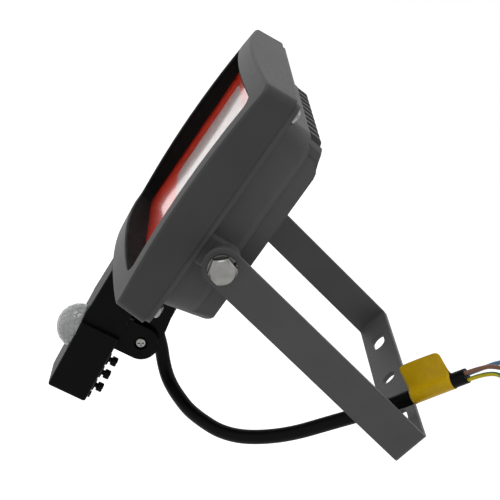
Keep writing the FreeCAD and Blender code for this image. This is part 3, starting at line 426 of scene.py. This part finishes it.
def route_points(name, route):
    """Points of a smooth line whose control points are the route's."""
    curve = bpy.data.curves.new(name + "_line", "CURVE")
    curve.dimensions = "3D"
    curve.resolution_u = 24
    spline = curve.splines.new("NURBS")
    spline.points.add(len(route) - 1)
    for point, place in zip(spline.points, route):
        point.co = (*place, 1.0)
    spline.order_u = 3
    spline.use_endpoint_u = True
    carrier = bpy.data.objects.new(name + "_line", curve)
    bpy.context.scene.collection.objects.link(carrier)
    bpy.context.view_layer.update()
    mesh = bpy.data.meshes.new_from_object(carrier)
    points = [vertex.co.copy() for vertex in mesh.vertices]
    bpy.data.objects.remove(carrier)
    bpy.data.meshes.remove(mesh)
    return points


def length_of(points):
    return sum((b - a).length for a, b in zip(points, points[1:]))


def stretch(points, start, end, count):
    """Evenly spaced points between two distances along a line."""
    spots = []
    travelled = 0.0
    wanted = [start + (end - start) * index / (count - 1) for index in range(count)]
    for first, second in zip(points, points[1:]):
        step = (second - first).length
        while wanted and wanted[0] <= travelled + step:
            spots.append(first.lerp(second, (wanted.pop(0) - travelled) / step))
        travelled += step
    return spots + [points[-1].copy() for _ in wanted]


def spot_on(line, share):
    """Point and heading at a share of an evenly spaced line."""
    place = min(max(share, 0.0), 1.0) * (len(line) - 1)
    index = min(int(place), len(line) - 2)
    first, second = line[index], line[index + 1]
    return first.lerp(second, place - index), (second - first).normalized()


def carried_frames(points):
    """For each point its heading and two square directions that never twist."""
    frames = []
    side = None
    for index, point in enumerate(points):
        before = points[max(index - 1, 0)]
        after = points[min(index + 1, len(points) - 1)]
        heading = (after - before).normalized()
        if side is None:
            side = heading.orthogonal().normalized()
        side = (side - heading * side.dot(heading)).normalized()
        frames.append((point, heading, side, heading.cross(side)))
    return frames


def tube_mesh(name, points, radius, sides):
    """Tube round a line of points, closed at both ends."""
    vertices = []
    faces = []
    for point, _, side, up in carried_frames(points):
        for step in range(sides):
            angle = 2.0 * math.pi * step / sides
            vertices.append(point + (side * math.cos(angle) + up * math.sin(angle)) * radius)
    for row in range(len(points) - 1):
        for step in range(sides):
            a = row * sides + step
            b = row * sides + (step + 1) % sides
            faces.append((a, b, b + sides, a + sides))
    for row in (0, len(points) - 1):
        vertices.append(points[row])
        centre = len(vertices) - 1
        for step in range(sides):
            a = row * sides + step
            b = row * sides + (step + 1) % sides
            faces.append((b, a, centre) if row == 0 else (a, b, centre))
    mesh = mesh_from(name, vertices, faces)
    smooth_by_angle(mesh, 50.0)
    return mesh


def background_rays(nodes, links):
    """One for camera, glossy and transmission rays, and zero for the others."""
    path = nodes.new("ShaderNodeLightPath")
    result = path.outputs["Is Camera Ray"]
    for kind in ("Is Glossy Ray", "Is Transmission Ray"):
        larger = nodes.new("ShaderNodeMath")
        larger.operation = "MAXIMUM"
        links.new(result, larger.inputs[0])
        links.new(path.outputs[kind], larger.inputs[1])
        result = larger.outputs["Value"]
    return result


class FLOODLIGHT_OT_stage(bpy.types.Operator):
    """Make the camera, the pale floor and the soft lights"""

    bl_idname = "floodlight.stage"
    bl_label = "Stage"

    camera_place = (0.67049, -0.30507, 0.15279)
    floor_reach = 6.0
    floor_glow = 0.82
    aim = Vector((0.0, -0.11, 0.0))
    # Name, place, share of the key light's power, and side of the square
    lights = (
        ("key_light", (0.10, -1.35, 0.85), 1.0, 0.9),
        ("side_light", (1.20, 0.95, 0.35), 0.35, 0.8),
        ("top_light", (-0.20, 0.30, 1.40), 0.3, 0.8),
    )

    def execute(self, context):
        settings = context.scene.floodlight_stage
        self.make_camera(context, settings)
        self.make_floor(settings)
        self.make_lights(context, settings)
        self.make_room(context, settings)
        context.scene.view_settings.view_transform = "Standard"
        return {"FINISHED"}

    def make_camera(self, context, settings):
        data = bpy.data.cameras.new("photo_camera")
        data.lens = settings.lens
        data.sensor_width = 36.0
        data.clip_start = 0.05
        data.clip_end = 50.0
        camera = bpy.data.objects.new("photo_camera", data)
        across = Vector((0.028459, 0.690264, 0.722997))
        up = Vector((-0.343896, -0.672377, 0.655473))
        back = Vector((0.938576, -0.267290, 0.218244))
        turn = Matrix((across, up, back)).transposed().to_4x4()
        camera.matrix_world = Matrix.Translation(self.camera_place) @ turn
        context.scene.collection.objects.link(camera)
        context.scene.camera = camera

    def make_floor(self, settings):
        height = -settings.floor_drop
        reach = self.floor_reach
        signs = ((-1, -1), (1, -1), (1, 1), (-1, 1))
        corners = [(across * reach, along * reach, height) for across, along in signs]
        floor = new_object("floor", mesh_from("floor", corners, [(0, 1, 2, 3)], False), None)
        finish = Finish("pale_floor")
        finish.colour(finish.tint(finish.noise(0.6), (0.80, 0.80, 0.80), (0.84, 0.84, 0.84)))
        finish.give(Roughness=0.9, Specular_IOR_Level=0.1)
        glow = finish.add("ShaderNodeEmission")
        glow.inputs["Color"].default_value = (1.0, 1.0, 1.0, 1.0)
        glow.inputs["Strength"].default_value = self.floor_glow
        both = finish.add("ShaderNodeAddShader")
        seen = finish.add("ShaderNodeMixShader")
        finish.links.new(finish.shader.outputs["BSDF"], both.inputs[0])
        finish.links.new(glow.outputs["Emission"], both.inputs[1])
        finish.links.new(background_rays(finish.nodes, finish.links), seen.inputs["Fac"])
        finish.links.new(finish.shader.outputs["BSDF"], seen.inputs[1])
        finish.links.new(both.outputs["Shader"], seen.inputs[2])
        finish.links.new(seen.outputs["Shader"], finish.nodes["Material Output"].inputs["Surface"])
        floor.data.materials.append(finish.material)

    def make_lights(self, context, settings):
        for name, place, share, side in self.lights:
            data = bpy.data.lights.new(name, "AREA")
            data.shape = "SQUARE"
            data.size = side
            data.energy = settings.key * share
            light = bpy.data.objects.new(name, data)
            light.location = place
            light.rotation_euler = (self.aim - Vector(place)).to_track_quat("-Z", "Y").to_euler()
            context.scene.collection.objects.link(light)

    def make_room(self, context, settings):
        world = bpy.data.worlds.new("pale_room")
        world.use_nodes = True
        context.scene.world = world
        nodes = world.node_tree.nodes
        links = world.node_tree.links
        plain = nodes["Background"]
        plain.inputs["Color"].default_value = (1.0, 1.0, 1.0, 1.0)
        plain.inputs["Strength"].default_value = settings.ambient
        white = nodes.new("ShaderNodeBackground")
        white.inputs["Color"].default_value = (1.0, 1.0, 1.0, 1.0)
        white.inputs["Strength"].default_value = 1.0
        either = nodes.new("ShaderNodeMixShader")
        links.new(background_rays(nodes, links), either.inputs["Fac"])
        links.new(plain.outputs["Background"], either.inputs[1])
        links.new(white.outputs["Background"], either.inputs[2])
        links.new(either.outputs["Shader"], nodes["World Output"].inputs["Surface"])


class FLOODLIGHT_OT_supply_cable(bpy.types.Operator):
    """Run the rubber supply cable from the gland to its stripped end"""

    bl_idname = "floodlight.supply_cable"
    bl_label = "Supply Cable"

    def execute(self, context):
        settings = context.scene.floodlight_cable
        points = route_points("supply_cable", CABLE_ROUTE)
        mesh = tube_mesh("supply_cable_jacket", points, settings.diameter / 2, settings.rings)
        mesh.materials.append(rubber_skin("cable_rubber", (0.003, 0.003, 0.0035), 0.4))
        jacket = new_object("supply_cable_jacket", mesh, None)
        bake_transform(jacket)
        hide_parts("supply_cable")
        return {"FINISHED"}


class FLOODLIGHT_OT_cores(bpy.types.Operator):
    """Draw the three insulated cores and their bare copper tips"""

    bl_idname = "floodlight.cores"
    bl_label = "Cable Cores"

    # Bare length of each tip, and how far its strands reach back into the skin
    bare = 0.0045
    tuck = 0.001
    # How far before the route's end the strands stop
    short = 0.0003
    # Strands in a tip, and their turn along it in radians
    strands = 7
    twist = 2.4
    skin_sides = 16
    strand_sides = 6

    def execute(self, context):
        settings = context.scene.floodlight_cable
        copper = bare_metal("bright_copper", (0.72, 0.36, 0.2), 0.28, edge=0.0)
        brown = self.sheath("core_brown", (0.28, 0.15, 0.11))
        blue = self.sheath("core_blue", (0.16, 0.30, 0.52))
        yellow = self.sheath("core_yellow", (0.75, 0.62, 0.03))
        green = self.sheath("core_green", (0.03, 0.25, 0.12))
        for name, route, sheaths, slot in (
                ("wire_brown", BROWN_ROUTE, (brown,), "brown_core"),
                ("wire_blue", BLUE_ROUTE, (blue,), "blue_core"),
                ("wire_green_yellow", GREEN_YELLOW_ROUTE, (yellow, green), "green_yellow_core")):
            self.make_core(settings, name, route, sheaths, copper, slot)
        return {"FINISHED"}

    def sheath(self, name, colour):
        return moulded_plastic(name, colour, 0.32, 0.0)

    def make_core(self, settings, name, route, sheaths, copper, slot):
        """One core; a second sheath colour runs along it as two stripes."""
        points = route_points(name, route)
        whole = length_of(points)
        skin = stretch(points, 0.0, whole - self.bare, 90)
        radius = settings.core_diameter / 2
        mesh = tube_mesh(name + "_skin", skin, radius, self.skin_sides)
        for sheath in sheaths:
            mesh.materials.append(sheath)
        if len(sheaths) == 2:
            for face in mesh.polygons:
                if len(face.vertices) == 4 and face.index % (self.skin_sides // 2) < 3:
                    face.material_index = 1
        core = new_object(name + "_skin", mesh, "bracket")
        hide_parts(name)
        line = stretch(points, whole - self.bare - self.tuck, whole - self.short, 10)
        tip = self.make_tip(name, line, radius, copper, slot)

    def make_tip(self, name, line, radius, copper, slot):
        """Six fine strands twisted round a seventh at the core's end."""
        vertices = []
        faces = []
        strand_radius = radius * 0.24
        sides = self.strand_sides
        rows = len(line)
        frames = carried_frames(line)
        for number in range(self.strands):
            ring = 0.0 if number == 0 else 2 * strand_radius
            for row, (point, _, side, up) in enumerate(frames):
                turn = 2 * math.pi * number / (self.strands - 1) + self.twist * row / (rows - 1)
                centre = point + (side * math.cos(turn) + up * math.sin(turn)) * ring
                for step in range(sides):
                    angle = 2 * math.pi * step / sides
                    around = side * math.cos(angle) + up * math.sin(angle)
                    vertices.append(centre + around * strand_radius)
            base = number * rows * sides
            for row in range(rows - 1):
                for step in range(sides):
                    a = base + row * sides + step
                    b = base + row * sides + (step + 1) % sides
                    faces.append((a, b, b + sides, a + sides))
            faces.append(tuple(base + (rows - 1) * sides + step for step in range(sides)))
        mesh = mesh_from(name + "_tip", vertices, faces)
        mesh.materials.append(copper)
        return new_object(name + "_tip", mesh, "bracket")


class FLOODLIGHT_OT_label(bpy.types.Operator):
    """Fold the bare yellow label round the cable"""

    bl_idname = "floodlight.label"
    bl_label = "Cable Label"

    # Distances of the label's two edges from the jacket's end
    low_edge = 0.0322
    high_edge = 0.0080
    thickness = 0.0002
    clearance = 0.00025
    # How far the flag's corner curls, and how far its middle bellies the other way
    curl = 0.0012
    belly = 0.0005

    def execute(self, context):
        settings = context.scene.floodlight_cable
        points = route_points("cable_label", CABLE_ROUTE)
        whole = length_of(points)
        rows = 15
        line = stretch(points, whole - self.low_edge, whole - self.high_edge, rows)
        height = length_of(line)
        section = self.fold(settings.diameter / 2 + self.clearance)
        vertices = []
        faces = []
        for row in range(rows):
            share = row / (rows - 1)
            for reach, side, inset, bend in section:
                place = inset / height + (1.0 - 2.0 * inset / height) * share
                centre, along = spot_on(line, place)
                out = (FLAG_DIRECTION - along * FLAG_DIRECTION.dot(along)).normalized()
                lift = bend * (self.curl * share ** 2 - self.belly * math.sin(math.pi * share))
                vertices.append(centre + out * reach + along.cross(out) * (side + lift))
        count = len(section)
        for row in range(rows - 1):
            for index in range(count - 1):
                a = row * count + index
                faces.append((a, a + 1, a + 1 + count, a + count))
        mesh = mesh_from("cable_label_film", vertices, faces)
        smooth_by_angle(mesh, 50.0)
        mesh.materials.append(yellow_film("yellow_film", settings.label))
        film = new_object("cable_label_film", mesh, "bracket")
        thick = film.modifiers.new("film", "SOLIDIFY")
        thick.thickness = self.thickness
        thick.offset = 0.0
        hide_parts("cable_label")
        return {"FINISHED"}

    def fold(self, radius):
        """Section of the film: in along the flag, round the cable, and out again.

        Each point is its distance from the cable's middle, its side step, how far the
        flag's rounded corner cuts it short, and how much it curls."""
        reach = 0.0174
        corner = 0.0026
        gap = 0.00022
        opening = math.radians(20.0)
        neck = radius * math.cos(opening)
        drop = radius * math.sin(opening)
        flag = []
        steps = 14
        for index in range(steps + 1):
            share = index / steps
            far = reach - (reach - neck) * share ** 1.25
            past = max(0.0, far - (reach - corner))
            inset = corner - math.sqrt(max(0.0, corner ** 2 - past ** 2))
            side = gap + (drop - gap) * share ** 9
            flag.append((far, side, inset, 1.0 - share))
        ring = []
        turns = 24
        for index in range(1, turns):
            angle = opening + (2 * math.pi - 2 * opening) * index / turns
            ring.append((radius * math.cos(angle), radius * math.sin(angle), 0.0, 0.0))
        back = [(far, -side, inset, bend) for far, side, inset, bend in reversed(flag)]
        return flag + ring + back


class FLOODLIGHT_OT_cast_body(bpy.types.Operator):
    """Coat the bezel, the finned housing and the wall bracket"""

    bl_idname = "floodlight.cast_body"
    bl_label = "Cast Body and Bracket"

    def execute(self, context):
        settings = context.scene.floodlight_coat
        # The same coat in copies of different lightness: the darker bezel is painted shade, and the lighter
        # housing and bracket are painted light, after how the light falls on each piece.
        for name, node, edge, lighter in (
                ("bezel_coat", "front_bezel", settings.edge, 0.8),
                ("housing_coat", "rear_housing", settings.edge, 1.35),
                ("bracket_coat", "mounting_bracket", settings.edge * 0.6, 1.3)):
            dress(powder_coat(name, settings, edge, lighter), node, smooth=25.0)
        return {"FINISHED"}


class FLOODLIGHT_OT_window(bpy.types.Operator):
    """Fit the glass pane, gasket, red mask and light panel"""

    bl_idname = "floodlight.window"
    bl_label = "Front Window"

    # Round-cornered pane in the lamp's own frame
    half_x = 0.0695
    half_u = 0.060
    middle_u = 0.01805
    corner_radius = 0.016
    back_n = 0.02412
    front_n = 0.02696
    bevel = 0.0004

    def execute(self, context):
        settings = context.scene.floodlight_window
        dress(rubber_skin("gasket_rubber", (0.006, 0.006, 0.006), 0.6), "glass_gasket")
        dress(printed_mask("red_print", settings.red), "red_mask_plate")
        dress(frosted_panel("light_panel", settings.white), "diffuser_panel")
        pane = self.make_pane()
        pane.data.materials.append(clear_glass("window_glass"))
        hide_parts("front_glass")
        return {"FINISHED"}

    def make_pane(self):
        """Pane with ground edges, built from its round-cornered outline."""
        # Each loop's place and how far it is set in
        loops = (
            (self.back_n, self.bevel),
            (self.back_n + self.bevel, 0.0),
            (self.front_n - self.bevel, 0.0),
            (self.front_n, self.bevel),
        )
        vertices = []
        faces = []
        steps = 12
        count = 4 * (steps + 1)
        for n, inset in loops:
            for corner in range(4):
                corner_x = (self.half_x - self.corner_radius) * (1, -1, -1, 1)[corner]
                corner_u = (self.half_u - self.corner_radius) * (1, 1, -1, -1)[corner]
                for step in range(steps + 1):
                    angle = math.pi / 2 * (corner + step / steps)
                    x = corner_x + (self.corner_radius - inset) * math.cos(angle)
                    u = corner_u + (self.corner_radius - inset) * math.sin(angle)
                    vertices.append(lamp_point(x, n, self.middle_u + u))
        for row in range(len(loops) - 1):
            for step in range(count):
                a = row * count + step
                b = row * count + (step + 1) % count
                faces.append((a, b, b + count, a + count))
        faces.append(tuple(reversed(range(count))))
        faces.append(tuple(range((len(loops) - 1) * count, len(loops) * count)))
        mesh = mesh_from("front_glass_pane", vertices, faces, False)
        sheet = bmesh.new()
        sheet.from_mesh(mesh)
        bmesh.ops.recalc_face_normals(sheet, faces=sheet.faces)
        sheet.to_mesh(mesh)
        sheet.free()
        return new_object("front_glass_pane", mesh, "lamp")


class FLOODLIGHT_OT_fasteners(bpy.types.Operator):
    """Give the bolts, washers and screws their bare steel"""

    bl_idname = "floodlight.fasteners"
    bl_label = "Bolts and Screws"

    def execute(self, context):
        steel = (0.22, 0.218, 0.21)
        worn = bare_metal("bolt_steel", steel, 0.34, (0.3, 1.0, 1.0), 0.0004, True)
        dress(worn, "pivot_bolts", smooth=28.0)
        # The flats of the bolt heads get a much darker copy of the bolt steel, as painted shade.
        self.paint_shade_on_flats(NODES["pivot_bolts"].data, bare_metal("bolt_flat_painted_shade", shade(steel, 0.3), 0.3))
        for name, lighter, roughness, nodes in (
                ("washer_steel", 0.9, 0.3, ("spring_washers", "pivot_washers")),
                ("screw_steel", 1.1, 0.24, ("bezel_screws", "hinge_screw", "hinge_nut")),
                ("black_screw_steel", 0.08, 0.35, ("cover_screws",))):
            dress(bare_metal(name, shade(steel, lighter), roughness), *nodes, smooth=28.0)
        return {"FINISHED"}

    def paint_shade_on_flats(self, mesh, material):
        """Give the flats round each bolt head a much darker copy of the steel: painted shade on the faces
        turned from the light.
        """
        mesh.materials.append(material)
        for face in mesh.polygons:
            if abs(face.normal.x) < 0.2:
                face.material_index = 1


class FLOODLIGHT_OT_gland(bpy.types.Operator):
    """Finish the cable gland in black plastic and rubber"""

    bl_idname = "floodlight.gland"
    bl_label = "Cable Gland"

    def execute(self, context):
        colour = tuple(context.scene.floodlight_plastic.case)
        dress(moulded_plastic("gland_plastic", colour, 0.4),
              "cable_gland_body", "cable_gland_nut", "gland_lock_nut", smooth=32.0)
        dress(rubber_skin("gland_rubber", (0.01, 0.01, 0.01), 0.6), "gland_seal", smooth=32.0)
        return {"FINISHED"}


class FLOODLIGHT_OT_sensor(bpy.types.Operator):
    """Finish the sensor's case, cover, bracket and knobs"""

    bl_idname = "floodlight.sensor"
    bl_label = "Sensor Case and Knobs"

    def execute(self, context):
        colour = tuple(context.scene.floodlight_plastic.case)
        dress(moulded_plastic("sensor_plastic", colour, 0.42, 0.0007), "sensor_case", smooth=32.0)
        dress(moulded_plastic("sensor_cover_plastic", shade(colour, 0.9), 0.4),
              "sensor_back_cover", smooth=32.0)
        dress(moulded_plastic("knob_plastic", shade(colour, 1.3), 0.36, 0.0002),
              "daylight_knob", "time_knob", "sensitivity_knob", smooth=32.0)
        dress(moulded_plastic("bracket_gloss", shade(colour, 0.9), 0.14, 0.0007, 0.00001),
              "sensor_bracket", "sensor_lock_nut", smooth=32.0)
        return {"FINISHED"}


class FLOODLIGHT_OT_lens(bpy.types.Operator):
    """Mould the milky lens with its six-sided facets"""

    bl_idname = "floodlight.lens"
    bl_label = "Sensor Lens"

    # Middle of the round lens in the sensor's own frame
    middle = (0.0, -0.0332, -0.0106)
    # Plane that cuts the ball, and the collar behind it
    rim = -0.0002
    collar_front = -0.0012
    collar_back = 0.0018
    # Heights of each cell's edge and shoulder as shares of the radius, and the shoulder's share of the cell
    groove = 0.975
    shoulder = 0.994
    shoulder_share = 0.8

    def execute(self, context):
        settings = context.scene.floodlight_plastic
        radius = settings.lens_radius
        mesh = self.facets(radius)
        turn = Matrix.Rotation(SENSOR_LEAN, 4, "X")
        mesh.transform(Matrix.Translation(sensor_point(*self.middle)) @ turn)
        mesh.materials.append(milky_lens("lens_plastic", tuple(settings.lens)))
        lens = new_object("faceted_dome_lens", mesh, "sensor")
        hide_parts("dome_lens")
        return {"FINISHED"}

    def facets(self, radius):
        """Half of a ball divided into six-sided cells, each slightly domed."""
        ball = bmesh.new()
        bmesh.ops.create_icosphere(ball, subdivisions=3, radius=radius)
        ball.verts.ensure_lookup_table()
        shell = bmesh.new()
        for vertex in ball.verts:
            if vertex.co.y > self.rim + 0.002:
                continue
            middles = [face.calc_center_median().normalized() * radius for face in vertex.link_faces]
            axis = vertex.co.normalized()
            first = axis.orthogonal().normalized()
            second = axis.cross(first)
            middles.sort(key=lambda spot: math.atan2(spot.dot(second), spot.dot(first)))
            outer = [shell.verts.new(spot * self.groove) for spot in middles]
            centre = sum(middles, Vector()) / len(middles)
            inner = []
            for spot in middles:
                drawn_in = centre + (spot - centre) * self.shoulder_share
                inner.append(shell.verts.new(drawn_in.normalized() * radius * self.shoulder))
            top = shell.verts.new(centre.normalized() * radius)
            for index in range(len(outer)):
                after = (index + 1) % len(outer)
                shell.faces.new((outer[index], outer[after], inner[after], inner[index]))
                shell.faces.new((inner[index], inner[after], top))
        bmesh.ops.remove_doubles(shell, verts=shell.verts, dist=radius * 0.002)
        cut = shell.verts[:] + shell.edges[:] + shell.faces[:]
        bmesh.ops.bisect_plane(shell, geom=cut, plane_co=(0, self.rim, 0), plane_no=(0, 1, 0),
                               clear_outer=True)
        self.add_collar(shell, radius)
        mesh = bpy.data.meshes.new("faceted_dome_lens")
        shell.to_mesh(mesh)
        shell.free()
        ball.free()
        smooth_by_angle(mesh, 3.0)
        return mesh

    def add_collar(self, shell, radius):
        """Plain collar that carries the faceted cap into the case."""
        steps = 48
        front = self.rim + self.collar_front
        back = self.collar_back
        loops = []
        for size, depth in ((radius * 0.99, front), (radius, front), (radius, back), (radius * 0.9, back)):
            loop = []
            for step in range(steps):
                angle = 2 * math.pi * step / steps
                loop.append(shell.verts.new((size * math.cos(angle), depth, size * math.sin(angle))))
            loops.append(loop)
        for lower, upper in zip(loops, loops[1:]):
            for step in range(steps):
                after = (step + 1) % steps
                shell.faces.new((lower[step], lower[after], upper[after], upper[step]))


class FLOODLIGHT_OT_electronics(bpy.types.Operator):
    """Finish the boards, chips, driver and trimmers inside"""

    bl_idname = "floodlight.electronics"
    bl_label = "Electronics"

    def execute(self, context):
        dress(board_finish("lamp_board", (0.78, 0.78, 0.76), (0.6, 0.5, 0.25)), "led_board")
        dress(board_finish("sensor_board_green", (0.02, 0.16, 0.06), (0.65, 0.62, 0.5)), "sensor_board")
        dress(moulded_plastic("chip_phosphor", (0.85, 0.68, 0.16), 0.3, 0.0001), "led_chips")
        dress(moulded_plastic("driver_potting", (0.05, 0.05, 0.05), 0.5), "driver_module")
        dress(moulded_plastic("trimmer_blue", (0.03, 0.12, 0.42), 0.3), "potentiometers")
        dress(bare_metal("sensor_can", (0.6, 0.57, 0.48), 0.3), "pir_element")
        return {"FINISHED"}


SETTINGS = (
    ("floodlight_coat", CoatSettings),
    ("floodlight_window", WindowSettings),
    ("floodlight_plastic", PlasticSettings),
    ("floodlight_cable", CableSettings),
    ("floodlight_stage", StageSettings),
)

# In the order in which they are made
PIECES = (
    FLOODLIGHT_OT_stage,
    FLOODLIGHT_OT_label,
    FLOODLIGHT_OT_supply_cable,
    FLOODLIGHT_OT_cores,
    FLOODLIGHT_OT_cast_body,
    FLOODLIGHT_OT_window,
    FLOODLIGHT_OT_fasteners,
    FLOODLIGHT_OT_gland,
    FLOODLIGHT_OT_sensor,
    FLOODLIGHT_OT_lens,
    FLOODLIGHT_OT_electronics,
)


class FLOODLIGHT_PT_pieces(bpy.types.Panel):
    """Lists the floodlight's pieces and their sizes and colours"""

    bl_idname = "FLOODLIGHT_PT_pieces"
    bl_label = "Floodlight"
    bl_space_type = "VIEW_3D"
    bl_region_type = "UI"
    bl_category = "Floodlight"

    def draw(self, context):
        layout = self.layout
        for group, _ in SETTINGS:
            settings = getattr(context.scene, group)
            box = layout.box()
            for name in settings.__annotations__:
                box.prop(settings, name)
        column = layout.column()
        for piece in PIECES:
            column.operator(piece.bl_idname)


def register():
    for name, settings in SETTINGS:
        bpy.utils.register_class(settings)
        setattr(bpy.types.Scene, name, PointerProperty(type=settings))
    for piece in PIECES:
        bpy.utils.register_class(piece)
    bpy.utils.register_class(FLOODLIGHT_PT_pieces)


def unregister():
    bpy.utils.unregister_class(FLOODLIGHT_PT_pieces)
    for piece in reversed(PIECES):
        bpy.utils.unregister_class(piece)
    for name, settings in reversed(SETTINGS):
        delattr(bpy.types.Scene, name)
        bpy.utils.unregister_class(settings)


def main():
    register()
    for piece in PIECES:
        group, action = piece.bl_idname.split(".")
        getattr(getattr(bpy.ops, group), action)()


if __name__ == "__main__":
    main()
